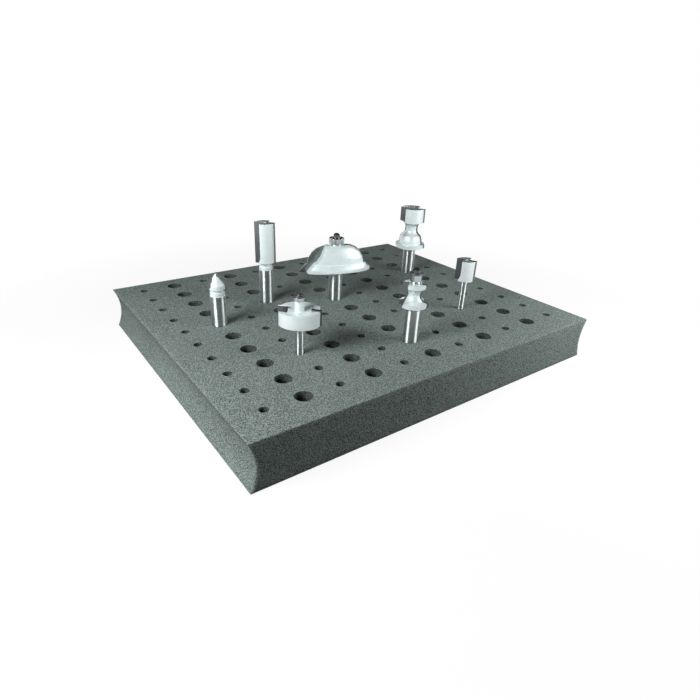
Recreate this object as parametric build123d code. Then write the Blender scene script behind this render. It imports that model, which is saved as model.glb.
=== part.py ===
from build123d import *
from math import sin, tan, radians
import os

os.makedirs("parts", exist_ok=True)

# Router bit organizer: a foam block with a grid of blind holes, seven bits in it.
# Millimetres. The origin is the centre of the block's underside, X runs along
# the block's long side and Z is up.

# The foam block
LENGTH = 350.0
DEPTH = 292.0
HEIGHT = 38.0
SIDE_HOLLOW = 5.0

# The grid of holes: even columns take small shanks, odd columns large ones
COLUMNS = 11
ROWS = 10
COLUMN_PITCH = 30.0
ROW_PITCH = 27.3
BACK_MARGIN = 18.8
HOLE_DEPTH = 12.7

# Shanks, and how they stand in the holes
LARGE_SHANK_R = 6.35
SMALL_SHANK_R = 3.175
SHANK_CHAMFER = 0.8
HOLE_CLEARANCE = 0.05
SEAT_GAP = 0.1

# Every cutter plate stands this far proud of the painted steel behind it
RELIEF = 0.8
PLATE_BED = 0.8

# Clearance angle ground on every edge of a plate, in degrees
PLATE_CLEARANCE = 10.0

# How far the tools that cut the chip spaces run out of the steel
OVERRUN = 2.0

# Straight lines that stand for each arc of an outline
ARC_STEPS = 5

# Grooving bit with a pointed head
VEE_SHANK_LENGTH = 38.9
VEE_COLLAR_R = 6.1
VEE_COLLAR_LENGTH = 3.0
VEE_NECK_R = 5.5
VEE_NECK_LENGTH = 2.7
VEE_CUT_R = 7.95
VEE_SIDE_LENGTH = 3.9
VEE_POINT_ANGLE = 70.0
VEE_STEP = 0.4
VEE_BLUNT_R = 0.25
VEE_CORE = 3.0
VEE_RUN_OUT = 2.8
VEE_PLATE = 1.8
VEE_PLATE_WIDTH = 3.0
VEE_PLATE_DROP = 1.4

# Long straight bit
STRAIGHT_SHANK_LENGTH = 44.0
STRAIGHT_COLLAR_R = 6.1
STRAIGHT_COLLAR_LENGTH = 2.9
STRAIGHT_NECK_R = 5.3
STRAIGHT_NECK_LENGTH = 2.7
STRAIGHT_CUT_R = 9.525
STRAIGHT_CUT_LENGTH = 38.1
STRAIGHT_SHOULDER = 1.6
STRAIGHT_CORE = 2.9
STRAIGHT_PLATE = 2.0

# Table edge bit: a wide dome with a lip, led by a bearing
EDGE_SHANK_LENGTH = 41.5
EDGE_CUT_R = 34.925
EDGE_LIP_HEIGHT = 2.4
EDGE_COVE_R = 30.2
EDGE_COVE_HEIGHT = 4.8
EDGE_COVE_HOLLOW = 1.0
EDGE_STEP_R = 28.4
EDGE_DOME_HEIGHT = 17.7
EDGE_TOP_R = 7.3
EDGE_NECK_R = 5.5
EDGE_NECK_LENGTH = 1.3
EDGE_HALF_WIDTH = 13.0
EDGE_PLATE = 2.4

# Its chip spaces are hollowed: radius of their wall, and height above the lip
EDGE_WALL = [(28.6, 0.0), (21.9, 7.9), (19.2, 9.4), (15.5, 14.0), (13.8, 18.0)]
EDGE_WALL_TOP_R = 10.8

# Rebate bit: a flat disc with two cutters, led by a bearing
RABBET_SHANK_LENGTH = 38.0
RABBET_CUT_R = 17.0
RABBET_CUT_LENGTH = 12.7
RABBET_RIM_R = 13.0
RABBET_RIM_DROP = 1.3
RABBET_DISH = 1.4
RABBET_HUB_R = 3.7
RABBET_HUB_LENGTH = 5.8
RABBET_HALF_WIDTH = 15.0
RABBET_GULLET = 8.0
RABBET_CORE = 8.0
RABBET_PLATE_WIDTH = 8.0
RABBET_PLATE = 2.2

# Bead bit: two flanges with a cove between them, led by a bearing
BEAD_SHANK_LENGTH = 40.7
BEAD_COLLAR_R = 5.9
BEAD_COLLAR_LENGTH = 2.6
BEAD_LOW_R = 11.8
BEAD_LOW_HEIGHT = 3.8
BEAD_COVE_R = 5.7
BEAD_COVE_HEIGHT = 12.0
BEAD_HIGH_R = 9.9
BEAD_HIGH_HEIGHT = 3.3
BEAD_HUB_R = 3.9
BEAD_HUB_LENGTH = 2.0
BEAD_CORE = 4.4
BEAD_RUN_OUT = 3.6
BEAD_RUN_OUT_HEIGHT = 10.0
BEAD_PLATE = 2.0

# Short straight bit
SHORT_SHANK_LENGTH = 40.1
SHORT_SHOULDER = 1.2
SHORT_CUT_R = 9.4
SHORT_CUT_LENGTH = 20.0
SHORT_CORE = 2.2
SHORT_PLATE = 2.0

# Profile bit: a wide foot, a bell, a thin waist and a straight top
CROWN_SHANK_LENGTH = 41.5
CROWN_FOOT_R = 16.4
CROWN_FOOT_HEIGHT = 4.0
CROWN_BELL_R = 12.9
CROWN_BELL_HEIGHT = 9.2
CROWN_BELL_TURN = 1.6
CROWN_BELL_CROWN = 0.6
CROWN_SWEEP_HOLLOW = 0.8
CROWN_RISE_HOLLOW = 2.1
CROWN_WAIST_R = 7.0
CROWN_WAIST_START = 18.4
CROWN_WAIST_LENGTH = 4.8
CROWN_TOP_START = 27.6
CROWN_TOP_R = 13.6
CROWN_TOP_LENGTH = 14.9
CROWN_TIP_R = 3.0
CROWN_TIP_HEIGHT = 2.4
CROWN_CORE = 5.0
CROWN_PLATE = 2.2

# How far the chip spaces of the two straight bits run out at the foot, and over what height
RUN_OUT = 3.6
RUN_OUT_HEIGHT = 6.0

# The two straight bits have a centre mark in the end
MARK_R = 2.0
MARK_DEPTH = 1.0

# Bearings: outer radius, bore radius, width, wall of each race, number of balls
EDGE_BEARING = dict(outer=7.15, bore=2.5, width=5.2, inner_wall=1.2, outer_wall=1.25, balls=8)
RABBET_BEARING = dict(outer=4.76, bore=1.59, width=3.4, inner_wall=0.85, outer_wall=0.8, balls=7)
BEAD_BEARING = dict(outer=4.76, bore=1.59, width=5.5, inner_wall=0.85, outer_wall=0.8, balls=7)
BALL_CLEARANCE = 0.06
CAGE_HALF_WIDTH = 0.2
RACE_SET_BACK = 0.3
BORE_CLEARANCE = 0.04

# Washers and screws that hold the bearings: radii and heights
EDGE_WASHER_R = 3.5
EDGE_WASHER = 0.6
EDGE_HEAD_R = 2.9
EDGE_HEAD = 3.2
RABBET_WASHER_R = 4.0
RABBET_WASHER = 0.7
RABBET_HEAD_R = 2.6
RABBET_HEAD = 1.6
BEAD_WASHER_R = 5.5
BEAD_WASHER = 1.3
BEAD_HEAD_R = 3.6
BEAD_HEAD = 3.6
SCREW_DEPTH = 7.0
SCREW_POINT_GAP = 0.8
THREAD_CLEARANCE = 0.04
SOCKET_SHARE = 0.5
SOCKET_DEPTH = 1.2

# Where the bits stand (column, row) and how each is turned, in degrees
PLACES = {
    "vee": (1, 4, -32.0),
    "straight": (3, 3, -41.0),
    "edge": (5, 4, -18.0),
    "rabbet": (2, 7, -45.0),
    "bead": (5, 8, -51.0),
    "short": (8, 7, -62.0),
    "crown": (9, 3, -57.0),
}


def hole_place(column, row):
    x = (column - (COLUMNS - 1) / 2) * COLUMN_PITCH
    y = DEPTH / 2 - BACK_MARGIN - row * ROW_PITCH
    return x, y


def hole_radius(column):
    shank = LARGE_SHANK_R if column % 2 else SMALL_SHANK_R
    return shank + HOLE_CLEARANCE


def foam():
    """The block: a base, and on it one pierced bar for each column of holes, face to face.

    The block is one piece of foam; the bars only keep each hole open in what is made from this.
    """
    half_x, half_y = LENGTH / 2, DEPTH / 2
    floor = HEIGHT - HOLE_DEPTH
    with BuildSketch(Plane.XZ) as end:
        with BuildLine():
            Line((-half_x, 0), (half_x, 0))
            ThreePointArc((half_x, 0), (half_x - SIDE_HOLLOW, HEIGHT / 2), (half_x, HEIGHT))
            Line((half_x, HEIGHT), (-half_x, HEIGHT))
            ThreePointArc((-half_x, HEIGHT), (-half_x + SIDE_HOLLOW, HEIGHT / 2), (-half_x, 0))
        make_face()
    block = extrude(end.sketch, amount=half_y, both=True)
    solids = [(block & slab(-half_x, half_x, 0, floor)).solid()]
    for column in range(COLUMNS):
        x, _ = hole_place(column, 0)
        left = x - COLUMN_PITCH / 2 if column else -half_x
        right = x + COLUMN_PITCH / 2 if column < COLUMNS - 1 else half_x
        bar = block & slab(left, right, floor, HEIGHT)
        for row in range(ROWS):
            _, y = hole_place(column, row)
            bar = bar - Pos(x, y, floor) * post(hole_radius(column), HOLE_DEPTH)
        solids.append(bar.solid())
    return Compound(children=solids)


def slab(left, right, bottom, top):
    """A cell of the block over its whole depth."""
    middle = Pos((left + right) / 2, 0, (bottom + top) / 2)
    return middle * Box(right - left, DEPTH, top - bottom)


def post(radius, height):
    return Cylinder(radius, height, align=(Align.CENTER, Align.CENTER, Align.MIN))


def outline(points):
    """A closed face in the XZ plane. A pair of points is an arc: its middle and its end."""
    corners = [points[0]]
    for point in points[1:]:
        if isinstance(point[0], tuple):
            corners += along_arc(corners[-1], *point)
        else:
            corners.append(point)
    with BuildSketch(Plane.XZ) as sketch:
        with BuildLine():
            Polyline(*corners, close=True)
        make_face()
    return sketch.sketch


def along_arc(start, middle, end):
    """Points along an arc, few enough to keep the turned steel light."""
    curve = Edge.make_three_point_arc(start, middle, end)
    places = [curve.position_at(step / ARC_STEPS) for step in range(1, ARC_STEPS + 1)]
    return [(place.X, place.Y) for place in places]


def turned(points):
    """A turned body: the outline runs from the axis at the bottom to the axis at the top."""
    return revolve(outline(points), axis=Axis.Z)


def shank_start(radius):
    """The first points of a turned body: the chamfered end of its shank."""
    return [(0, 0), (radius - SHANK_CHAMFER, 0), (radius, SHANK_CHAMFER)]


def pair(shape):
    """The shape and its twin, half a turn round the axis."""
    return [shape, Rot(0, 0, 180) * shape]


def plates(points, thickness):
    """The two cutters: flat plates with their faces on the axis plane, relieved behind."""
    return pair(extrude(outline(points), amount=thickness, taper=PLATE_CLEARANCE))


def beds(points, thickness):
    """The two recesses that the cutters are brazed into."""
    return pair(extrude(outline(points), amount=thickness))


def gullets(points, reach):
    """The two chip spaces, open in front of the cutters' faces."""
    return pair(extrude(outline(points), amount=-reach))


def halfway(start, end, bulge):
    """The middle of an arc: halfway between its ends, and out by the bulge."""
    return ((start[0] + end[0]) / 2 + bulge, (start[1] + end[1]) / 2)


def set_back(points, relief):
    """The same outline, nearer to the axis by the relief."""
    out = []
    for point in points:
        if isinstance(point[0], tuple):
            out.append(tuple((r - relief, z) for r, z in point))
        else:
            out.append((point[0] - relief, point[1]))
    return out


def body_with(shape, recesses, spaces):
    """Clear the chip spaces and the beds of the cutters out of the steel."""
    for tool in spaces + recesses:
        shape = shape - tool
    return shape.solid()


def flatten(shape, half_length, half_width, height):
    """Trim a wide head to an oval, as seen from above."""
    oval = extrude(Ellipse(half_length, half_width), amount=height)
    return shape & oval


def vee_bit():
    collar = VEE_SHANK_LENGTH + VEE_COLLAR_LENGTH
    start = collar + VEE_NECK_LENGTH
    cone = start + VEE_SIDE_LENGTH
    slope = tan(radians(VEE_POINT_ANGLE / 2))
    apex = cone + VEE_CUT_R / slope
    side_r = VEE_CUT_R - RELIEF
    body_tip = cone + (side_r - RELIEF) / slope
    path = shank_start(LARGE_SHANK_R)
    path += [(LARGE_SHANK_R, VEE_SHANK_LENGTH), (VEE_COLLAR_R, VEE_SHANK_LENGTH)]
    path += [(VEE_COLLAR_R, collar), (VEE_NECK_R, collar), (VEE_NECK_R, start)]
    path += [(side_r, start + VEE_STEP), (side_r, cone), (RELIEF, body_tip), (0, body_tip)]
    foot = start - VEE_PLATE_DROP
    inner_r = VEE_CUT_R - VEE_PLATE_WIDTH
    inner_drop = VEE_PLATE_WIDTH / slope
    plate = [(inner_r, foot), (VEE_CUT_R, foot), (VEE_CUT_R, cone)]
    plate += [(VEE_BLUNT_R, apex - VEE_BLUNT_R / slope)]
    plate += [(VEE_BLUNT_R, apex - VEE_BLUNT_R / slope - inner_drop), (inner_r, cone)]
    reach = VEE_CUT_R + OVERRUN
    space = [(VEE_CORE, apex + OVERRUN), (reach, apex + OVERRUN)]
    space += [(reach, start), (VEE_CORE + VEE_RUN_OUT, start), (VEE_CORE, cone)]
    cutters = plates(plate, VEE_PLATE)
    body = body_with(turned(path), beds(plate, VEE_PLATE), gullets(space, reach))
    return {"vee_bit_body": body, "vee_bit_cutters": Compound(children=cutters)}


def straight_bit():
    collar = STRAIGHT_SHANK_LENGTH + STRAIGHT_COLLAR_LENGTH
    start = collar + STRAIGHT_NECK_LENGTH
    top = start + STRAIGHT_CUT_LENGTH
    side_r = STRAIGHT_CUT_R - RELIEF
    path = shank_start(LARGE_SHANK_R)
    path += [(LARGE_SHANK_R, STRAIGHT_SHANK_LENGTH), (STRAIGHT_COLLAR_R, STRAIGHT_SHANK_LENGTH)]
    path += [(STRAIGHT_COLLAR_R, collar), (STRAIGHT_NECK_R, collar), (STRAIGHT_NECK_R, start)]
    path += [(side_r, start + STRAIGHT_SHOULDER), (side_r, top - RELIEF / 2), (0, top - RELIEF / 2)]
    body, cutters = straight_head(path, start, top, STRAIGHT_CUT_R, STRAIGHT_CORE, STRAIGHT_PLATE)
    return {"straight_bit_body": body, "straight_bit_cutters": cutters}


def short_bit():
    start = SHORT_SHANK_LENGTH + SHORT_SHOULDER / 2
    top = start + SHORT_CUT_LENGTH
    side_r = SHORT_CUT_R - RELIEF
    path = shank_start(SMALL_SHANK_R)
    path += [(SMALL_SHANK_R, SHORT_SHANK_LENGTH), (side_r, SHORT_SHANK_LENGTH + SHORT_SHOULDER)]
    path += [(side_r, top - RELIEF / 2), (0, top - RELIEF / 2)]
    body, cutters = straight_head(path, start, top, SHORT_CUT_R, SHORT_CORE, SHORT_PLATE)
    return {"short_bit_body": body, "short_bit_cutters": cutters}


def straight_head(path, start, top, cut_r, core, thickness):
    """Two straight cutters and a centre mark, for both straight bits."""
    plate = [(core - PLATE_BED, start), (cut_r, start), (cut_r, top), (core - PLATE_BED, top)]
    reach = cut_r + OVERRUN
    space = [(core, top + OVERRUN), (reach, top + OVERRUN), (reach, start - OVERRUN)]
    space += [(core + RUN_OUT, start - OVERRUN), (core, start + RUN_OUT_HEIGHT)]
    cutters = plates(plate, thickness)
    body = turned(path)
    for tool in gullets(space, reach) + beds(plate, thickness):
        body = body - tool
    mark = Pos(0, 0, top - RELIEF / 2) * Rot(180, 0, 0)
    cone = Cone(MARK_R, 0, MARK_DEPTH, align=(Align.CENTER, Align.CENTER, Align.MIN))
    body = body - mark * cone
    return body.solid(), Compound(children=cutters)


def edge_bit():
    base = EDGE_SHANK_LENGTH
    lip = base + EDGE_LIP_HEIGHT
    cove = lip + EDGE_COVE_HEIGHT
    dome = cove + EDGE_DOME_HEIGHT
    neck = dome + EDGE_NECK_LENGTH
    cove_middle = halfway((EDGE_CUT_R, lip), (EDGE_COVE_R, cove), -EDGE_COVE_HOLLOW)
    share = sin(radians(45))
    dome_middle = (EDGE_TOP_R + (EDGE_STEP_R - EDGE_TOP_R) * share, cove + EDGE_DOME_HEIGHT * share)
    profile = [(EDGE_CUT_R, base), (EDGE_CUT_R, lip), (cove_middle, (EDGE_COVE_R, cove))]
    profile += [(EDGE_STEP_R, cove), (dome_middle, (EDGE_TOP_R, dome))]
    path = shank_start(LARGE_SHANK_R) + [(LARGE_SHANK_R, base), (EDGE_NECK_R, base)]
    path += [(EDGE_NECK_R, neck), (0, neck)]
    dome_path = [(0, base)] + set_back(profile, RELIEF) + [(0, dome)]
    plate = profile + [(r - 2 * PLATE_BED, base + z) for r, z in reversed(EDGE_WALL)]
    reach = EDGE_CUT_R + OVERRUN
    space = [(EDGE_WALL_TOP_R, dome + OVERRUN / 2), (reach, dome + OVERRUN / 2), (reach, base)]
    space += [(r, base + z) for r, z in EDGE_WALL]
    cutters = plates(plate, EDGE_PLATE)
    oval = scale(turned(dome_path), by=(1, EDGE_HALF_WIDTH / EDGE_CUT_R, 1))
    head = turned(path) + oval
    body = body_with(head, beds(plate, EDGE_PLATE), gullets(space, EDGE_HALF_WIDTH + OVERRUN))
    nodes = {"edge_bit_cutters": Compound(children=cutters)}
    body, pilot = led(body, neck, "edge", EDGE_BEARING, EDGE_WASHER_R, EDGE_WASHER,
                      EDGE_HEAD_R, EDGE_HEAD)
    return {"edge_bit_body": body} | nodes | pilot


def rabbet_bit():
    base = RABBET_SHANK_LENGTH
    top = base + RABBET_CUT_LENGTH
    hub = top + RABBET_HUB_LENGTH
    side_r = RABBET_CUT_R - RELIEF
    rim = top - RABBET_RIM_DROP
    path = shank_start(SMALL_SHANK_R) + [(SMALL_SHANK_R, base + RELIEF / 2)]
    path += [(side_r, base + RELIEF / 2), (side_r, rim), (RABBET_RIM_R, rim)]
    path += [(RABBET_HUB_R, rim - RABBET_DISH), (RABBET_HUB_R, hub), (0, hub)]
    inner_r = RABBET_CUT_R - RABBET_PLATE_WIDTH
    plate = [(inner_r, base), (RABBET_CUT_R, base), (RABBET_CUT_R, top), (inner_r, top)]
    reach = RABBET_CUT_R + OVERRUN
    space = [(RABBET_CORE, top + OVERRUN), (reach, top + OVERRUN)]
    space += [(reach, base - OVERRUN), (RABBET_CORE, base - OVERRUN)]
    cutters = plates(plate, RABBET_PLATE)
    head = flatten(turned(path), RABBET_CUT_R, RABBET_HALF_WIDTH, hub)
    body = body_with(head, beds(plate, RABBET_PLATE), gullets(space, RABBET_GULLET))
    nodes = {"rabbet_bit_cutters": Compound(children=cutters)}
    body, pilot = led(body, hub, "rabbet", RABBET_BEARING, RABBET_WASHER_R, RABBET_WASHER,
                      RABBET_HEAD_R, RABBET_HEAD)
    return {"rabbet_bit_body": body} | nodes | pilot


def bead_bit():
    base = BEAD_SHANK_LENGTH + BEAD_COLLAR_LENGTH
    low = base + BEAD_LOW_HEIGHT
    high = low + BEAD_COVE_HEIGHT
    top = high + BEAD_HIGH_HEIGHT
    hub = top + BEAD_HUB_LENGTH
    cove_middle = (BEAD_COVE_R, (low + high) / 2)
    profile = [(BEAD_LOW_R, base), (BEAD_LOW_R, low), (cove_middle, (BEAD_HIGH_R, high))]
    profile += [(BEAD_HIGH_R, top)]
    path = shank_start(LARGE_SHANK_R)
    path += [(LARGE_SHANK_R, BEAD_SHANK_LENGTH), (BEAD_COLLAR_R, BEAD_SHANK_LENGTH)]
    path += [(BEAD_COLLAR_R, base)]
    path += set_back(profile, RELIEF)
    path += [(BEAD_HUB_R, top), (BEAD_HUB_R, hub), (0, hub)]
    plate = profile + [(BEAD_CORE - PLATE_BED, top), (BEAD_CORE - PLATE_BED, base)]
    reach = BEAD_LOW_R + OVERRUN
    space = [(BEAD_CORE, top + OVERRUN), (reach, top + OVERRUN), (reach, base)]
    space += [(BEAD_CORE + BEAD_RUN_OUT, base), (BEAD_CORE, base + BEAD_RUN_OUT_HEIGHT)]
    cutters = plates(plate, BEAD_PLATE)
    body = body_with(turned(path), beds(plate, BEAD_PLATE), gullets(space, reach))
    nodes = {"bead_bit_cutters": Compound(children=cutters)}
    body, pilot = led(body, hub, "bead", BEAD_BEARING, BEAD_WASHER_R, BEAD_WASHER,
                      BEAD_HEAD_R, BEAD_HEAD)
    return {"bead_bit_body": body} | nodes | pilot


def crown_bit():
    base = CROWN_SHANK_LENGTH
    foot = base + CROWN_FOOT_HEIGHT
    bell = foot + CROWN_BELL_HEIGHT
    waist = base + CROWN_WAIST_START
    waist_end = waist + CROWN_WAIST_LENGTH
    shoulder = base + CROWN_TOP_START
    top = shoulder + CROWN_TOP_LENGTH
    bell_end = (CROWN_BELL_R - CROWN_BELL_TURN, bell)
    bell_middle = halfway((CROWN_BELL_R, foot), bell_end, CROWN_BELL_CROWN)
    ogee_middle = halfway(bell_end, (CROWN_WAIST_R, waist), -CROWN_SWEEP_HOLLOW)
    rise_middle = halfway((CROWN_WAIST_R, waist_end), (CROWN_TOP_R, shoulder), -CROWN_RISE_HOLLOW)
    profile = [(CROWN_FOOT_R, base), (CROWN_FOOT_R, foot), (CROWN_BELL_R, foot)]
    profile += [(bell_middle, bell_end), (ogee_middle, (CROWN_WAIST_R, waist))]
    profile += [(CROWN_WAIST_R, waist_end), (rise_middle, (CROWN_TOP_R, shoulder))]
    profile += [(CROWN_TOP_R, top)]
    path = shank_start(LARGE_SHANK_R) + [(LARGE_SHANK_R, base)]
    path += set_back(profile, RELIEF)
    path += [(CROWN_TIP_R, top), (RELIEF, top + CROWN_TIP_HEIGHT), (0, top + CROWN_TIP_HEIGHT)]
    plate = profile + [(CROWN_CORE - PLATE_BED, top), (CROWN_CORE - PLATE_BED, base)]
    reach = CROWN_FOOT_R + OVERRUN
    space = [(CROWN_CORE, top + OVERRUN), (reach, top + OVERRUN), (reach, bell)]
    space += [bell_end, (CROWN_CORE, waist)]
    cutters = plates(plate, CROWN_PLATE)
    body = body_with(turned(path), beds(plate, CROWN_PLATE), gullets(space, reach))
    return {"crown_bit_body": body, "crown_bit_cutters": Compound(children=cutters)}


def ball(radius):
    """A ball with few faces, inside the sphere of its radius."""
    cube = Box(1.8 * radius, 1.8 * radius, 1.8 * radius)
    return chamfer(cube.edges(), 0.5 * radius)


def bearing(sizes, name):
    """Inner race, outer race, and the balls in their cage, from z = 0 up."""
    inner_r = sizes["bore"] + sizes["inner_wall"]
    outer_r = sizes["outer"] - sizes["outer_wall"]
    ball_r = (outer_r - inner_r) / 2 - BALL_CLEARANCE
    pitch_r = (outer_r + inner_r) / 2
    middle = sizes["width"] / 2
    inner = post(inner_r, sizes["width"]) - post(sizes["bore"], sizes["width"])
    outer_height = sizes["width"] - 2 * RACE_SET_BACK
    outer = post(sizes["outer"], outer_height) - post(outer_r, outer_height)
    outer = Pos(0, 0, RACE_SET_BACK) * outer
    ribbon = RegularPolygon(pitch_r + CAGE_HALF_WIDTH, sizes["balls"])
    ribbon = ribbon - RegularPolygon(pitch_r - CAGE_HALF_WIDTH, sizes["balls"])
    cage = Pos(0, 0, middle - ball_r / 2) * extrude(ribbon, amount=ball_r)
    for index in range(sizes["balls"]):
        turn = Rot(0, 0, 360 * index / sizes["balls"])
        cage = cage + turn * Pos(pitch_r, 0, middle) * ball(ball_r)
    return {
        f"{name}_bearing_inner": inner,
        f"{name}_bearing_outer": outer,
        f"{name}_bearing_balls": cage,
    }


def led(body, seat, name, sizes, washer_r, washer_height, head_r, head_height):
    """A bit's bearing with its washer and screw, and the body tapped for the screw."""
    screw_r = sizes["bore"] - BORE_CLEARANCE
    hole_r = screw_r + THREAD_CLEARANCE
    body = body - Pos(0, 0, seat - SCREW_DEPTH - SCREW_POINT_GAP) * post(hole_r, 2 * SCREW_DEPTH)
    under_head = seat + sizes["width"] + washer_height
    washer = post(washer_r, washer_height) - post(hole_r, washer_height)
    stem = post(screw_r, SCREW_DEPTH + sizes["width"] + washer_height)
    head = chamfer(post(head_r, head_height).edges().sort_by(Axis.Z)[-1:], head_r * 0.35)
    key = RegularPolygon(head_r * SOCKET_SHARE, 6)
    socket = Pos(0, 0, head_height - SOCKET_DEPTH) * extrude(key, amount=2 * SOCKET_DEPTH)
    screw = Pos(0, 0, seat - SCREW_DEPTH) * stem + Pos(0, 0, under_head) * (head - socket)
    pieces = {node: Pos(0, 0, seat) * shape for node, shape in bearing(sizes, name).items()}
    pieces[f"{name}_bit_washer"] = Pos(0, 0, seat + sizes["width"]) * washer
    pieces[f"{name}_bit_screw"] = screw
    return body.solid(), pieces


BITS = {
    "vee": vee_bit,
    "straight": straight_bit,
    "edge": edge_bit,
    "rabbet": rabbet_bit,
    "bead": bead_bit,
    "short": short_bit,
    "crown": crown_bit,
}

export_step(foam(), "parts/foam_block.step")
for name, make in BITS.items():
    column, row, turn = PLACES[name]
    x, y = hole_place(column, row)
    place = Pos(x, y, HEIGHT - HOLE_DEPTH + SEAT_GAP) * Rot(0, 0, turn)
    for node, shape in make().items():
        export_step(place * shape, f"parts/{node}.step")
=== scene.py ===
import math
from functools import partial

import bmesh
import bpy
from mathutils import Euler, Matrix, Vector, noise


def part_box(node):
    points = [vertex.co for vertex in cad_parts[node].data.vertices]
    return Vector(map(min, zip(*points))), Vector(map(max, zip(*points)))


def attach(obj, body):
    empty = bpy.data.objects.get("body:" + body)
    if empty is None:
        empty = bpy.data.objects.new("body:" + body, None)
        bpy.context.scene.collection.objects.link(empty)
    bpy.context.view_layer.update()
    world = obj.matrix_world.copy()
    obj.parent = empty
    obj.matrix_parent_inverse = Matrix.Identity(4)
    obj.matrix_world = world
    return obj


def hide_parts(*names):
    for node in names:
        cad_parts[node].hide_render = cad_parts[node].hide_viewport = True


bl_info = {
    "name": "Router bit organizer",
    "version": (1, 0, 0),
    "blender": (4, 5, 0),
    "location": "3D View > Sidebar > Organizer",
    "description": "Dresses the packed router bit organizer: foam block, steel and stage",
    "category": "Object",
}

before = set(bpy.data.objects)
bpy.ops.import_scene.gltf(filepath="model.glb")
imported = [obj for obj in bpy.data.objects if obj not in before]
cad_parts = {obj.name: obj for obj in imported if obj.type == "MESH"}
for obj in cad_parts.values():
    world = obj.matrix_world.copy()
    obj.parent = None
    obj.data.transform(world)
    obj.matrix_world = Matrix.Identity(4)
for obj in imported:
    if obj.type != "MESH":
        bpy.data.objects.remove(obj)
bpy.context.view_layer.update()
BLOCK_LOW, BLOCK_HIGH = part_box("foam_block")
MM = 0.001

# The bits, and which of them are led by a bearing
BITS = ("vee", "straight", "edge", "rabbet", "bead", "short", "crown")
LED_BITS = ("edge", "rabbet", "bead")


class FoamSettings(bpy.types.PropertyGroup):
    """Sizes and colours of the foam block."""

    columns: bpy.props.IntProperty(
        name="Columns", description="Holes along the long side", default=11, min=1
    )
    rows: bpy.props.IntProperty(
        name="Rows", description="Holes along the short side", default=10, min=1
    )
    column_pitch: bpy.props.FloatProperty(
        name="Column pitch", description="Distance between columns", default=30 * MM, unit="LENGTH"
    )
    row_pitch: bpy.props.FloatProperty(
        name="Row pitch", description="Distance between rows", default=27.3 * MM, unit="LENGTH"
    )
    back_margin: bpy.props.FloatProperty(
        name="Back margin", description="From the back edge to the first row",
        default=18.8 * MM, unit="LENGTH"
    )
    large_radius: bpy.props.FloatProperty(
        name="Large hole", description="Radius of the holes in odd columns",
        default=6.4 * MM, unit="LENGTH"
    )
    small_radius: bpy.props.FloatProperty(
        name="Small hole", description="Radius of the holes in even columns",
        default=3.225 * MM, unit="LENGTH"
    )
    hole_depth: bpy.props.FloatProperty(
        name="Hole depth", description="Depth of every hole", default=12.7 * MM, unit="LENGTH"
    )
    side_hollow: bpy.props.FloatProperty(
        name="Side hollow", description="How far the short sides curve in",
        default=5 * MM, unit="LENGTH"
    )
    lip: bpy.props.FloatProperty(
        name="Lip rounding", description="Rounding of the block's edges",
        default=0.5 * MM, unit="LENGTH"
    )
    rim: bpy.props.FloatProperty(
        name="Rim rounding", description="Rounding of each hole's mouth",
        default=0.5 * MM, unit="LENGTH"
    )
    raggedness: bpy.props.FloatProperty(
        name="Raggedness", description="How unevenly the foam is cut",
        default=0.14 * MM, unit="LENGTH"
    )
    cell_size: bpy.props.FloatProperty(
        name="Cell size", description="Size of the foam's cells", default=0.95 * MM, unit="LENGTH"
    )
    dark: bpy.props.FloatVectorProperty(
        name="Cell colour", description="Foam in the shade of its cells", subtype="COLOR",
        default=(0.030, 0.038, 0.036), min=0, max=1
    )
    light: bpy.props.FloatVectorProperty(
        name="Wall colour", description="Foam on the walls of its cells", subtype="COLOR",
        default=(0.245, 0.298, 0.282), min=0, max=1
    )
    # Painted shade: inside the holes the foam's colours are darkened to this share
    hole_shade: bpy.props.FloatProperty(
        name="Shaded walls",
        description="How light the foam is inside the holes, where the punch closed it",
        default=0.34, min=0, max=1
    )


class SteelSettings(bpy.types.PropertyGroup):
    """Colours and finish of the bits."""

    paint: bpy.props.FloatVectorProperty(
        name="Paint", description="Silver paint on the heads", subtype="COLOR",
        default=(0.79, 0.90, 0.91), min=0, max=1
    )
    # A painted highlight: a lighter colour laid along the heads' sharp edges
    edge_highlight: bpy.props.FloatVectorProperty(
        name="Highlit edge", description="Where the paint is thin on an edge", subtype="COLOR",
        default=(0.88, 0.94, 0.95), min=0, max=1
    )
    ground: bpy.props.FloatVectorProperty(
        name="Ground steel", description="Shanks and hubs", subtype="COLOR",
        default=(0.55, 0.61, 0.60), min=0, max=1
    )
    carbide: bpy.props.FloatVectorProperty(
        name="Carbide", description="The cutter plates", subtype="COLOR",
        default=(0.175, 0.19, 0.195), min=0, max=1
    )
    race: bpy.props.FloatVectorProperty(
        name="Race steel", description="Bearing races and balls", subtype="COLOR",
        default=(0.50, 0.55, 0.545), min=0, max=1
    )
    blackened: bpy.props.FloatVectorProperty(
        name="Blackened steel", description="Screws and washers", subtype="COLOR",
        default=(0.058, 0.07, 0.07), min=0, max=1
    )
    grind_pitch: bpy.props.FloatProperty(
        name="Grinding pitch", description="Spacing of the grinding rings on a shank",
        default=0.3 * MM, unit="LENGTH"
    )
    softened_edge: bpy.props.FloatProperty(
        name="Softened edge", description="Width of the bevel on steel edges",
        default=0.16 * MM, unit="LENGTH"
    )


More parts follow.
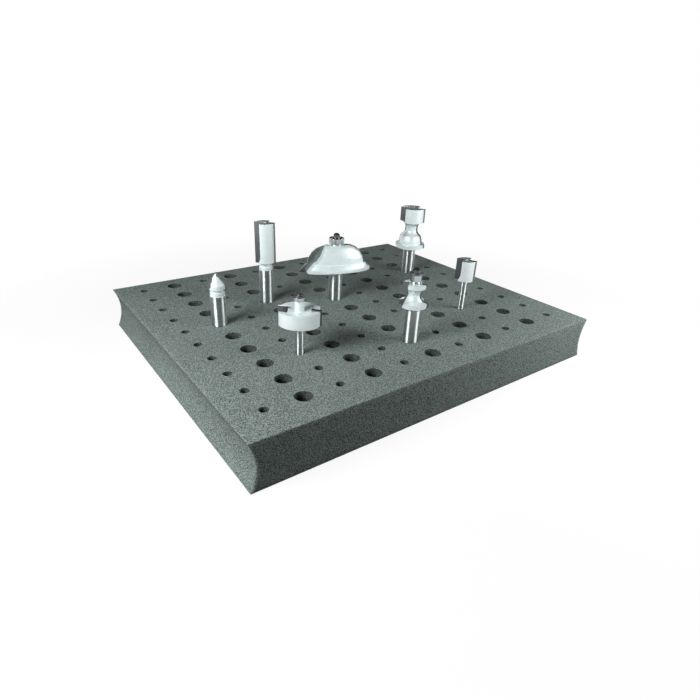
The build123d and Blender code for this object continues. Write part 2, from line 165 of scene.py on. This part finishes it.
class StageSettings(bpy.types.PropertyGroup):
    """The floor, the lamps and the camera."""

    white: bpy.props.FloatVectorProperty(
        name="White", description="Backdrop and floor", subtype="COLOR",
        default=(1, 1, 1), min=0, max=1
    )
    right_watts: bpy.props.FloatProperty(
        name="Right lamp", description="Power of the lamp in front on the right",
        default=1.42, min=0, unit="POWER"
    )
    left_watts: bpy.props.FloatProperty(
        name="Left lamp", description="Power of the lamp on the left",
        default=3.3, min=0, unit="POWER"
    )
    back_watts: bpy.props.FloatProperty(
        name="Back lamp", description="Power of the low lamp behind the block",
        default=0.45, min=0, unit="POWER"
    )
    fill: bpy.props.FloatProperty(
        name="Fill", description="Strength of the plain light from all round", default=0.03, min=0
    )
    lens: bpy.props.FloatProperty(
        name="Lens", description="Focal length that gives the photographed perspective",
        default=26.7, subtype="DISTANCE_CAMERA"
    )


class Sock:
    """A shader socket that takes part in sums; each sum adds its Math node."""

    def __init__(self, shader, socket):
        self.shader = shader
        self.socket = socket

    def _math(self, operation, first, second):
        return self.shader.add("ShaderNodeMath", {"operation": operation}, {0: first, 1: second})

    def __add__(self, other):
        return self._math("ADD", self, other)

    def __radd__(self, other):
        return self._math("ADD", other, self)

    def __sub__(self, other):
        return self._math("SUBTRACT", self, other)

    def __rsub__(self, other):
        return self._math("SUBTRACT", other, self)

    def __mul__(self, other):
        return self._math("MULTIPLY", self, other)

    def __rmul__(self, other):
        return self._math("MULTIPLY", other, self)


class Shader:
    """A material under construction: its nodes all come from one method."""

    def __init__(self, name):
        self.material = bpy.data.materials.new(name)
        self.material.use_nodes = True
        self.tree = self.material.node_tree
        self.surface = self.tree.nodes["Principled BSDF"]
        self.place = self.add("ShaderNodeTexCoord", {}, {}, output="Object")

    def add(self, kind, settings, sockets, output=0):
        """A node of that kind: its settings first, then the values or links of its sockets."""
        node = self.tree.nodes.new(kind)
        for key, value in settings.items():
            if key == "stops":
                self.set_stops(node.color_ramp, value)
            else:
                setattr(node, key, value)
        for key, value in sockets.items():
            self.set_socket(node.inputs[key], value)
        return Sock(self, node.outputs[output])

    def set_stops(self, ramp, stops):
        """Grey stops of a ramp: (position, level) in order."""
        while len(ramp.elements) < len(stops):
            ramp.elements.new(1)
        for element, (position, level) in zip(ramp.elements, stops):
            element.position = position
            element.color = (level, level, level, 1)

    def set_socket(self, socket, value):
        if isinstance(value, Sock):
            self.tree.links.new(value.socket, socket)
        elif isinstance(value, (tuple, list)) and len(value) == 3 and socket.type == "RGBA":
            socket.default_value = (*value, 1)
        else:
            socket.default_value = value

    def finish(self, **sockets):
        """Sets the surface's sockets by their names, with _ for a space."""
        for key, value in sockets.items():
            self.set_socket(self.surface.inputs[key.replace("_", " ")], value)
        return self.material

    def noise(self, scale, detail, stretch=(1, 1, 1)):
        """Noise with that many waves in a metre, in places stretched along each axis."""
        sockets = {"Vector": self.stretched(stretch), "Scale": scale, "Detail": detail}
        return self.add("ShaderNodeTexNoise", {}, sockets)

    def cells(self, size):
        """Distance from the middle of the nearest cell, in cells of about that size."""
        sockets = {"Vector": self.place, "Scale": 1 / size}
        return self.add("ShaderNodeTexVoronoi", {"feature": "F1"}, sockets, output="Distance")

    def stretched(self, stretch):
        if stretch == (1, 1, 1):
            return self.place
        return self.add("ShaderNodeMapping", {}, {"Vector": self.place, "Scale": stretch})

    def edges(self, starts, ends):
        """From 0 on flats to 1 on outward edges, between two measures of how they point."""
        pointed = self.add("ShaderNodeNewGeometry", {}, {}, output="Pointiness")
        return self.ramp(pointed, (starts, 0), (ends, 1))

    def ramp(self, value, *stops):
        return self.add("ShaderNodeValToRGB", {"stops": stops}, {"Fac": value})

    def blend(self, mask, first, second):
        settings = {"data_type": "RGBA"}
        return self.add("ShaderNodeMix", settings, {0: mask, 6: first, 7: second}, output=2)

    def bump(self, height, distance, strength):
        sockets = {"Height": height, "Distance": distance, "Strength": strength}
        return self.add("ShaderNodeBump", {}, sockets)


# Second tones of the finishes, beside the colours in the settings
FOAM_DUST = (0.27, 0.32, 0.30)
PAINT_CLOUD = (0.63, 0.72, 0.73)
PAINT_SPECK = (0.42, 0.48, 0.48)
SHANK_STAIN = (0.30, 0.325, 0.32)
FACING_MARK = (0.24, 0.25, 0.25)
CARBIDE_GRAIN = (0.24, 0.256, 0.26)
RACE_SMEAR = (0.33, 0.365, 0.36)
# a painted highlight for the blackened steel's sharp edges
EDGE_HIGHLIGHT_STEEL = (0.36, 0.39, 0.39)


def foam_material(foam, name, share):
    """Closed-cell foam: fine open cells, pale walls, dusty patches; share scales its colours, and
    below 1 it is painted shade.
    """
    shader = Shader(name)
    tones = (foam.dark, foam.light, FOAM_DUST)
    dark, light, dust = [tuple(share * channel for channel in tone) for tone in tones]
    cells = shader.cells(foam.cell_size)
    fine = shader.noise(1.5 / foam.cell_size, 2)
    patches = shader.noise(16, 3)
    walls = shader.ramp(cells * 0.5 + fine * 0.85, (0.49, 0), (0.78, 1))
    tone = shader.blend(walls, dark, light)
    dusty = shader.ramp(patches, (0.35, 0.0), (0.75, 0.16))
    colour = shader.blend(dusty, tone, dust)
    height = cells * 0.7 + fine * 0.5
    return shader.finish(
        Base_Color=colour,
        Roughness=0.92 - walls * 0.1,
        Specular_IOR_Level=0.03,
        Normal=shader.bump(height, 0.35 * MM, 0.8),
    )


def paint_material(steel):
    """Silver paint baked on cast steel: a fine orange peel with a few specks."""
    shader = Shader("silver_paint")
    peel = shader.noise(900, 3)
    specks = shader.ramp(shader.cells(1.7 * MM), (0.04, 1), (0.12, 0))
    clouds = shader.noise(140, 4)
    # Sharp edges get a lighter colour: a painted highlight
    highlit_paint_edges = shader.edges(0.505, 0.56)
    cloudy = shader.ramp(clouds, (0.3, 0), (0.75, 0.55))
    paint = shader.blend(cloudy, tuple(steel.paint), PAINT_CLOUD)
    paint = shader.blend(specks * 0.35, paint, PAINT_SPECK)
    colour = shader.blend(highlit_paint_edges * 0.8, paint, tuple(steel.edge_highlight))
    return shader.finish(
        Base_Color=colour,
        Metallic=0.3,
        Roughness=0.34 + peel * 0.14,
        Specular_IOR_Level=0.5,
        Normal=shader.bump(peel, 0.05 * MM, 0.5),
    )


def ground_material(steel):
    """Steel ground between centres: fine rings round the axis, which draw lamps into stripes."""
    shader = Shader("ground_steel")
    rings = shader.noise(1.0, 3, stretch=(60, 60, 1 / steel.grind_pitch))
    stains = shader.noise(220, 3)
    dull = shader.ramp(stains, (0.45, 0), (0.8, 0.5))
    colour = shader.blend(dull, tuple(steel.ground), SHANK_STAIN)
    return shader.finish(
        Base_Color=colour,
        Metallic=1.0,
        Roughness=0.40 + rings * 0.06,
        Anisotropic=1.0,
        Anisotropic_Rotation=0.25,
        Normal=shader.bump(rings, 0.02 * MM, 0.35),
    )


def faced_material(steel):
    """Steel faced off on a lathe: the ends of the bits, without the shanks' stripes."""
    shader = Shader("faced_steel")
    marks = shader.noise(900, 3)
    return shader.finish(
        Base_Color=shader.blend(marks * 0.5, tuple(steel.ground), FACING_MARK),
        Metallic=1.0,
        Roughness=0.5 + marks * 0.2,
        Normal=shader.bump(marks, 0.02 * MM, 0.4),
    )


def carbide_material(steel):
    """Sintered carbide with the slanting marks of the wheel that sharpened it."""
    shader = Shader("ground_carbide")
    marks = shader.noise(1.0, 2, stretch=(500, 500, 3800))
    grain = shader.noise(2400, 2)
    grainy = shader.ramp(grain, (0.35, 0), (0.7, 0.6))
    return shader.finish(
        Base_Color=shader.blend(grainy, tuple(steel.carbide), CARBIDE_GRAIN),
        Metallic=1.0,
        Roughness=0.22 + marks * 0.16,
        Normal=shader.bump(marks, 0.015 * MM, 0.4),
    )


def race_material(steel):
    """Hardened and polished bearing steel."""
    shader = Shader("polished_race")
    rings = shader.noise(1.0, 2, stretch=(90, 90, 6500))
    smears = shader.noise(300, 3)
    return shader.finish(
        Base_Color=shader.blend(smears * 0.4, tuple(steel.race), RACE_SMEAR),
        Metallic=1.0,
        Roughness=0.14 + smears * 0.16,
        Normal=shader.bump(rings, 0.01 * MM, 0.25),
    )


def blackened_material(steel):
    """Oil-blackened steel, with a painted highlight on its edges."""
    shader = Shader("blackened_steel")
    grain = shader.noise(1300, 3)
    # Sharp edges get a lighter colour: a painted highlight
    highlit_steel_edges = shader.edges(0.51, 0.58)
    return shader.finish(
        Base_Color=shader.blend(highlit_steel_edges * 0.7, tuple(steel.blackened), EDGE_HIGHLIGHT_STEEL),
        Metallic=0.9,
        Roughness=0.30 + grain * 0.2,
        Normal=shader.bump(grain, 0.02 * MM, 0.4),
    )


# Points that agree to a millionth of a metre are one
WELD_STEPS = 1e6


class Weave:
    """Collects points and faces, and welds points that share a place."""

    def __init__(self):
        self.mesh = bmesh.new()
        self.known = {}
        self.material = 0

    def point(self, x, y, z):
        key = tuple(round(value * WELD_STEPS) for value in (x, y, z))
        if key not in self.known:
            self.known[key] = self.mesh.verts.new((x, y, z))
        return self.known[key]

    def face(self, *points):
        """A face, unless its points have run together."""
        corners = list(dict.fromkeys(points))
        if len(corners) > 2:
            self.mesh.faces.new(corners).material_index = self.material

    def band(self, first, second):
        """Faces between two rings of as many points."""
        for index, point in enumerate(first):
            before = index - 1
            self.face(first[before], point, second[index], second[before])

    def to_object(self, name):
        bmesh.ops.recalc_face_normals(self.mesh, faces=self.mesh.faces)
        mesh = bpy.data.meshes.new(name)
        self.mesh.to_mesh(mesh)
        self.mesh.free()
        mesh.shade_smooth()
        made = bpy.data.objects.new(name, mesh)
        bpy.context.scene.collection.objects.link(made)
        return made


def settings():
    """The three groups of settings: foam, steel and stage."""
    scene = bpy.context.scene
    return scene.organizer_foam, scene.organizer_steel, scene.organizer_stage


def hollow(foam, z):
    """How far a short side lies inside the block's end at that height: an arc."""
    half = (BLOCK_HIGH.z - BLOCK_LOW.z) / 2
    radius = (half**2 + foam.side_hollow**2) / (2 * foam.side_hollow)
    rise = z - BLOCK_LOW.z - half
    return math.sqrt(radius**2 - rise**2) - (radius - foam.side_hollow)


# Faces along each edge of a hole's cell, and along the height of the block's sides
CELL_STEPS = 10
SIDE_STEPS = 12

# Where rings cross the rounding of a mouth and of the block's lip, in shares of the rounding:
# the flat ring outside, the bend inwards and downwards, and the same bend for the lip
MOUTH_FLAT = 4
MOUTH_IN, MOUTH_DOWN = 0.3, 0.25
LIP_BEND = 0.3

# Radii of the rings on a hole's floor, in shares of the hole's
HOLE_FLOOR_STEPS = (0.75, 0.4)

# The bands round a mouth that show the foam as cut; those below get the foam darkened with painted
# shade
MOUTH_BANDS = 3
CUT, PAINTED_HOLE_SHADE = 0, 1

# Size of the waves in an uneven cut
CUT_WAVE = 2.6 * MM


def cell_edge(foam, x, y):
    """Points round the cell of one hole, evenly spaced on its edges, corners included."""
    half_x, half_y = foam.column_pitch / 2, foam.row_pitch / 2
    corners = [(-half_x, -half_y), (half_x, -half_y), (half_x, half_y), (-half_x, half_y)]
    points = []
    for (x0, y0), (x1, y1) in zip(corners, corners[1:] + corners[:1]):
        for step in range(CELL_STEPS):
            along_x = (x1 - x0) * step / CELL_STEPS
            along_y = (y1 - y0) * step / CELL_STEPS
            points.append((x + (x0 + along_x), y + (y0 + along_y)))
    return points


def ragged(foam, x, y, z):
    """An uneven cut, from 0 to the foam's raggedness: the same on each run."""
    spot = Vector((x, y, z)) / CUT_WAVE
    return foam.raggedness * min(max(0.5 + noise.noise(spot), 0), 1)


def hole(weave, foam, x, y, radius):
    """One cell of the top: its flat part, the rounded mouth, the wall and the floor."""
    top, floor = BLOCK_HIGH.z, BLOCK_HIGH.z - foam.hole_depth
    edge = cell_edge(foam, x, y)
    angles = [math.atan2(py - y, px - x) for px, py in edge]

    def ring(ring_radius, z, uneven):
        points = []
        for angle in angles:
            c, s = math.cos(angle), math.sin(angle)
            r = ring_radius + uneven * ragged(foam, x + radius * c, y + radius * s, z)
            points.append(weave.point(x + r * c, y + r * s, z))
        return points

    rim = foam.rim
    rings = [
        [weave.point(px, py, top) for px, py in edge],
        ring(radius + MOUTH_FLAT * rim, top, 0),
        ring(radius + rim, top, 1),
        ring(radius + MOUTH_IN * rim, top - MOUTH_DOWN * rim, 1),
        ring(radius, top - rim, 1),
        ring(radius, (top + floor) / 2, 1),
        ring(radius, floor + rim, 1),
        ring(radius - rim, floor, 0),
    ]
    rings += [ring(radius * share, floor, 0) for share in HOLE_FLOOR_STEPS]
    for index, (outer, inner) in enumerate(zip(rings, rings[1:])):
        # Walls and floors below the mouth take the foam with painted shade
        weave.material = CUT if index < MOUTH_BANDS else PAINTED_HOLE_SHADE
        weave.band(outer, inner)
    weave.face(*rings[-1])
    weave.material = CUT


def stretches(low, first, last, high, count):
    """Places of the grid lines along one side: a margin, the cells, and the other margin."""
    step = (last - first) / count
    before = max(1, round((first - low) / step))
    after = max(1, round((high - last) / step))
    places = [low + (first - low) * index / before for index in range(before)]
    places += [first + step * index for index in range(count)]
    places += [last + (high - last) * index / after for index in range(after + 1)]
    return places


def block_top(weave, foam, low, high):
    """The top face inside the lip, with all the holes. Returns its grid lines."""
    left = -foam.column_pitch * foam.columns / 2
    back = BLOCK_HIGH.y - foam.back_margin + foam.row_pitch / 2
    front = back - foam.row_pitch * foam.rows
    xs = stretches(low.x, left, -left, high.x, foam.columns * CELL_STEPS)
    ys = stretches(low.y, front, back, high.y, foam.rows * CELL_STEPS)
    small = foam.row_pitch / CELL_STEPS / 2
    for x0, x1 in zip(xs, xs[1:]):
        for y0, y1 in zip(ys, ys[1:]):
            across = left - small < x0 and x1 < -left + small
            if across and front - small < y0 and y1 < back + small:
                continue
            corners = ((x0, y0), (x1, y0), (x1, y1), (x0, y1))
            weave.face(*[weave.point(px, py, BLOCK_HIGH.z) for px, py in corners])
    for column in range(foam.columns):
        radius = foam.large_radius if column % 2 else foam.small_radius
        x = (column - (foam.columns - 1) / 2) * foam.column_pitch
        for row in range(foam.rows):
            y = BLOCK_HIGH.y - foam.back_margin - row * foam.row_pitch
            hole(weave, foam, x, y, radius)
    return xs, ys


def block_side(weave, foam, xs, ys):
    """Rings down the sides, rounded at both lips, and the underside."""
    outline = [(x, ys[0]) for x in xs[:-1]] + [(xs[-1], y) for y in ys[:-1]]
    outline += [(x, ys[-1]) for x in reversed(xs[1:])] + [(xs[0], y) for y in reversed(ys[1:])]
    lip, low, high = foam.lip, BLOCK_LOW.z, BLOCK_HIGH.z
    bend, fall = LIP_BEND * lip, high - low - 2 * lip
    levels = [(high, lip), (high - bend, bend), (high - lip, 0)]
    levels += [(high - lip - fall * step / SIDE_STEPS, 0) for step in range(1, SIDE_STEPS)]
    levels += [(low + lip, 0), (low + bend, bend), (low, lip)]
    rings = []
    for z, inset in levels:
        wide = (BLOCK_HIGH.x - hollow(foam, z) - inset) / xs[-1]
        deep = (BLOCK_HIGH.y - inset) / ys[-1]
        rough = 0 if z in (low, high) else 1
        rings.append([])
        for x, y in outline:
            cut = rough * ragged(foam, x, y, z)
            shrink = 1 - cut / BLOCK_HIGH.x
            rings[-1].append(weave.point(x * wide * shrink, y * deep * shrink, z))
    for upper, lower in zip(rings, rings[1:]):
        weave.band(upper, lower)
    weave.face(*rings[-1])


def set_materials(piece, *materials):
    """Give the piece these materials in place of its own; its faces keep their numbers."""
    while piece.data.materials:
        piece.data.materials.pop()
    for material in materials:
        piece.data.materials.append(material)


class ORGANIZER_OT_foam(bpy.types.Operator):
    """Build the foam block with its grid of holes."""

    bl_idname = "organizer.foam"
    bl_label = "Foam block"

    def execute(self, context):
        foam, _, _ = settings()
        weave = Weave()
        inset = Vector((foam.lip, foam.lip, 0))
        xs, ys = block_top(weave, foam, BLOCK_LOW + inset, BLOCK_HIGH - inset)
        block_side(weave, foam, xs, ys)
        block = weave.to_object("foam_slab")
        cut = foam_material(foam, "closed_cell_foam", 1.0)
        # The foam inside the holes is the same foam, darkened with painted shade
        hole_shade = foam_material(foam, "foam_with_painted_hole_shade", foam.hole_shade)
        set_materials(block, cut, hole_shade)  # as CUT and PAINTED_HOLE_SHADE
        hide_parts("foam_block")
        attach(block, "foam")
        return {"FINISHED"}


# How sharply two faces of a node may meet and still be shaded as one, in degrees
SMOOTH_ANGLE = 40.0
SMOOTH_ANGLES = {"vee_bit_body": 24.0, "vee_bit_cutters": 24.0}

WELD_DISTANCE = 0.001 * MM
BEVEL_SEGMENTS = 2
LARGE_FACE_WEIGHT = 90


def soften(piece, width):
    """Weld the node's faces, round its edges a little and shade it smooth."""
    angle = math.radians(SMOOTH_ANGLES.get(piece.name, SMOOTH_ANGLE))
    weld = piece.modifiers.new("Weld", "WELD")
    weld.merge_threshold = WELD_DISTANCE
    bevel = piece.modifiers.new("Softened edges", "BEVEL")
    bevel.width = width
    bevel.segments = BEVEL_SEGMENTS
    bevel.limit_method = "ANGLE"
    bevel.angle_limit = angle
    bevel.use_clamp_overlap = True
    even = piece.modifiers.new("Even shading", "WEIGHTED_NORMAL")
    even.weight = LARGE_FACE_WEIGHT


def clear_shading(piece):
    """Let the modifiers decide the shading: the file's own normals are let go."""
    stored = piece.data.attributes.get("custom_normal")
    if stored:
        piece.data.attributes.remove(stored)
    piece.data.shade_smooth()


def dress(node, materials, width, choose=None):
    """Give a node its materials; choose says which, from a face's height above the foot."""
    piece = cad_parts[node]
    set_materials(piece, *materials)
    if choose:
        foot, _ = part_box(node)
        for face in piece.data.polygons:
            face.material_index = choose(face.center.z - foot.z)
    clear_shading(piece)
    soften(piece, width)


# A body's materials, in the order of its slots
PAINT, GROUND, FACED = 0, 1, 2

# Height above a bit's foot where its silver paint starts, and where its steel is bare again;
# the pointed bit is painted to its tip
PAINT_START = {
    "vee": 38.9 * MM,
    "straight": 44.0 * MM,
    "edge": 41.45 * MM,
    "rabbet": 38.35 * MM,
    "bead": 43.25 * MM,
    "short": 40.05 * MM,
    "crown": 41.45 * MM,
}
PAINT_END = {
    "straight": 87.2 * MM,
    "edge": 66.5 * MM,
    "rabbet": 55.9 * MM,
    "bead": 63.0 * MM,
    "short": 60.2 * MM,
    "crown": 83.9 * MM,
}

# The bits whose bare top is an end face and not a hub
FLAT_BITS = ("straight", "short", "crown")


def body_material(bit, height):
    """Which of a body's materials shows at that height above its foot."""
    if height < PAINT_START[bit]:
        return GROUND
    if bit not in PAINT_END or height < PAINT_END[bit]:
        return PAINT
    return FACED if bit in FLAT_BITS else GROUND


class ORGANIZER_OT_bodies(bpy.types.Operator):
    """Dress the turned bodies: ground shanks under painted heads."""

    bl_idname = "organizer.bodies"
    bl_label = "Bit bodies"

    def execute(self, context):
        _, steel, _ = settings()
        materials = (paint_material(steel), ground_material(steel), faced_material(steel))
        for bit in BITS:
            choose = partial(body_material, bit)
            dress(f"{bit}_bit_body", materials, steel.softened_edge, choose)
        return {"FINISHED"}


class ORGANIZER_OT_cutters(bpy.types.Operator):
    """Dress the carbide plates."""

    bl_idname = "organizer.cutters"
    bl_label = "Cutters"

    def execute(self, context):
        _, steel, _ = settings()
        carbide = carbide_material(steel)
        for bit in BITS:
            dress(f"{bit}_bit_cutters", [carbide], steel.softened_edge / 4)
        return {"FINISHED"}


class ORGANIZER_OT_bearings(bpy.types.Operator):
    """Dress the pilot bearings with their washers and screws."""

    bl_idname = "organizer.bearings"
    bl_label = "Bearings"

    def execute(self, context):
        _, steel, _ = settings()
        race = race_material(steel)
        blackened = blackened_material(steel)
        for bit in LED_BITS:
            for part in ("bearing_inner", "bearing_outer", "bearing_balls"):
                dress(f"{bit}_{part}", [race], steel.softened_edge / 2)
            for part in ("bit_washer", "bit_screw"):
                dress(f"{bit}_{part}", [blackened], steel.softened_edge)
        return {"FINISHED"}


# The camera, from a fit to the block's corners and the grid of holes
CAMERA_PLACE = Vector((-276.3, -370.7, 224.9)) * MM
CAMERA_AZIMUTH = 37.3
CAMERA_ELEVATION = 26.9
CAMERA_ROLL = 2.62
CAMERA_SHIFT = (0.0021, -0.002)
SENSOR = 36.0
CLIP_START = 0.01

# The lamps: azimuth and elevation in degrees, and distance from the block; and their two sides
RIGHT_LAMP = (-48, 26, 0.47)
LEFT_LAMP = (-169, 33, 0.6)
BACK_LAMP = (58, 9, 0.6)
LAMP_SIZE = (0.26, 0.16)


def camera(stage):
    """The camera at the photograph's place, turned and shifted as it was."""
    data = bpy.data.cameras.new("camera")
    data.sensor_width = SENSOR
    data.lens = stage.lens
    data.shift_x, data.shift_y = CAMERA_SHIFT
    data.clip_start = CLIP_START
    made = bpy.data.objects.new("camera", data)
    made.location = CAMERA_PLACE
    tilt = math.radians(90 - CAMERA_ELEVATION)
    turn = Euler((tilt, 0, math.radians(-CAMERA_AZIMUTH))).to_matrix()
    made.rotation_euler = (turn @ Matrix.Rotation(math.radians(CAMERA_ROLL), 3, "Z")).to_euler()
    bpy.context.scene.collection.objects.link(made)
    bpy.context.scene.camera = made


def lamp(name, watts, azimuth, elevation, distance):
    """A soft lamp aimed at the block from that direction."""
    data = bpy.data.lights.new(name, "AREA")
    data.energy = watts
    data.shape = "RECTANGLE"
    data.size, data.size_y = LAMP_SIZE
    made = bpy.data.objects.new(name, data)
    a, e = math.radians(azimuth), math.radians(elevation)
    way = Vector((math.cos(a) * math.cos(e), math.sin(a) * math.cos(e), math.sin(e)))
    made.location = way * distance
    made.rotation_euler = way.to_track_quat("Z", "Y").to_euler()
    bpy.context.scene.collection.objects.link(made)


def ray(shader, kind):
    """1 for the rays of one kind: Camera, Glossy or Transmission."""
    return shader.add("ShaderNodeLightPath", {}, {}, output=f"Is {kind} Ray")


def rays_that_see(shader):
    """1 for the rays that show the backdrop: straight, mirrored or passed through."""
    total = ray(shader, "Camera") + ray(shader, "Glossy") + ray(shader, "Transmission")
    total.socket.node.use_clamp = True
    return total


class World(Shader):
    """The world's nodes, made in the same way as a material's."""

    def __init__(self, world):
        world.use_nodes = True
        self.tree = world.node_tree


# What polished steel sees of the room: white round the horizon, a dim ceiling above. The ceiling
# starts and ends at these heights of a ray that is 1 long
CEILING = 0.05
CEILING_STARTS, CEILING_ENDS = 0.03, 0.28


def backdrop(stage):
    """White for the rays that show it, and a plain fill for the rest."""
    scene = bpy.context.scene
    scene.world = bpy.data.worlds.new("white_room")
    shader = World(scene.world)
    way = shader.add("ShaderNodeTexCoord", {}, {}, output="Generated")
    split = shader.add("ShaderNodeSeparateXYZ", {}, {0: way}, output="Z")
    ceiling = shader.ramp(split, (CEILING_STARTS, 1), (CEILING_ENDS, CEILING))
    seen = ray(shader, "Camera") + ray(shader, "Transmission") + ray(shader, "Glossy") * ceiling
    hidden = 1 - rays_that_see(shader)
    strength = seen + hidden * stage.fill
    node = shader.tree.nodes["Background"]
    shader.set_socket(node.inputs["Color"], tuple(stage.white))
    shader.set_socket(node.inputs["Strength"], strength)


# The floor: its width, how far it lies under the block, how far from its middle the shadows start
# to fade and are gone, and how strong they are. BOUNCE is what it sends back to the block, whose
# sides are dark where no lamp reaches them
FLOOR_SPAN = 6.0
FLOOR_GAP = 0.2 * MM
SHADOW_FADES = 0.21
SHADOW_REACH = 0.42
SHADOW_DEPTH = 0.16
BOUNCE = (0.03, 0.03, 0.03)


def floor(stage):
    """A pale floor that keeps the block's shadow and shows white elsewhere."""
    mesh = bpy.data.meshes.new("floor")
    half = FLOOR_SPAN / 2
    corners = [(-half, -half, 0), (half, -half, 0), (half, half, 0), (-half, half, 0)]
    mesh.from_pydata(corners, [], [(0, 1, 2, 3)])
    made = bpy.data.objects.new("floor", mesh)
    made.location.z = -FLOOR_GAP
    bpy.context.scene.collection.objects.link(made)
    shader = Shader("pale_floor")
    colour = shader.blend(ray(shader, "Camera"), BOUNCE, tuple(stage.white))
    shader.finish(Base_Color=colour, Roughness=0.9, Specular_IOR_Level=0.0)
    length = {"operation": "LENGTH"}
    radius = shader.add("ShaderNodeVectorMath", length, {0: shader.place}, output="Value")
    near = shader.ramp(radius, (SHADOW_FADES, SHADOW_DEPTH), (SHADOW_REACH, 0))
    plain = shader.add("ShaderNodeEmission", {}, {"Color": tuple(stage.white), "Strength": 1.0})
    shown = rays_that_see(shader) * (1 - near)
    lit = Sock(shader, shader.surface.outputs["BSDF"])
    mixed = shader.add("ShaderNodeMixShader", {}, {0: shown, 1: lit, 2: plain})
    output = shader.tree.nodes["Material Output"]
    shader.set_socket(output.inputs["Surface"], mixed)
    set_materials(made, shader.material)


class ORGANIZER_OT_stage(bpy.types.Operator):
    """Set up the floor, the backdrop, the lamps and the camera."""

    bl_idname = "organizer.stage"
    bl_label = "Stage"

    def execute(self, context):
        _, _, stage = settings()
        context.scene.view_settings.view_transform = "Standard"
        backdrop(stage)
        floor(stage)
        lamp("right_lamp", stage.right_watts, *RIGHT_LAMP)
        lamp("left_lamp", stage.left_watts, *LEFT_LAMP)
        lamp("back_lamp", stage.back_watts, *BACK_LAMP)
        camera(stage)
        return {"FINISHED"}


class ORGANIZER_PT_panel(bpy.types.Panel):
    """Lists the pieces of the organizer."""

    bl_label = "Router bit organizer"
    bl_idname = "ORGANIZER_PT_panel"
    bl_space_type = "VIEW_3D"
    bl_region_type = "UI"
    bl_category = "Organizer"

    def draw(self, context):
        for group in settings():
            box = self.layout.box()
            for name in group.__annotations__:
                box.prop(group, name)
        for operator in OPERATORS:
            self.layout.operator(operator.bl_idname)


GROUPS = {
    "organizer_foam": FoamSettings,
    "organizer_steel": SteelSettings,
    "organizer_stage": StageSettings,
}
OPERATORS = (
    ORGANIZER_OT_foam,
    ORGANIZER_OT_bodies,
    ORGANIZER_OT_cutters,
    ORGANIZER_OT_bearings,
    ORGANIZER_OT_stage,
)


def register():
    for kind in (*GROUPS.values(), *OPERATORS, ORGANIZER_PT_panel):
        bpy.utils.register_class(kind)
    for name, group in GROUPS.items():
        setattr(bpy.types.Scene, name, bpy.props.PointerProperty(type=group))


def unregister():
    for name in GROUPS:
        delattr(bpy.types.Scene, name)
    for kind in (ORGANIZER_PT_panel, *reversed(OPERATORS), *reversed(GROUPS.values())):
        bpy.utils.unregister_class(kind)


def main():
    register()
    bpy.ops.organizer.foam()
    bpy.ops.organizer.bodies()
    bpy.ops.organizer.cutters()
    bpy.ops.organizer.bearings()
    bpy.ops.organizer.stage()


if __name__ == "__main__":
    main()
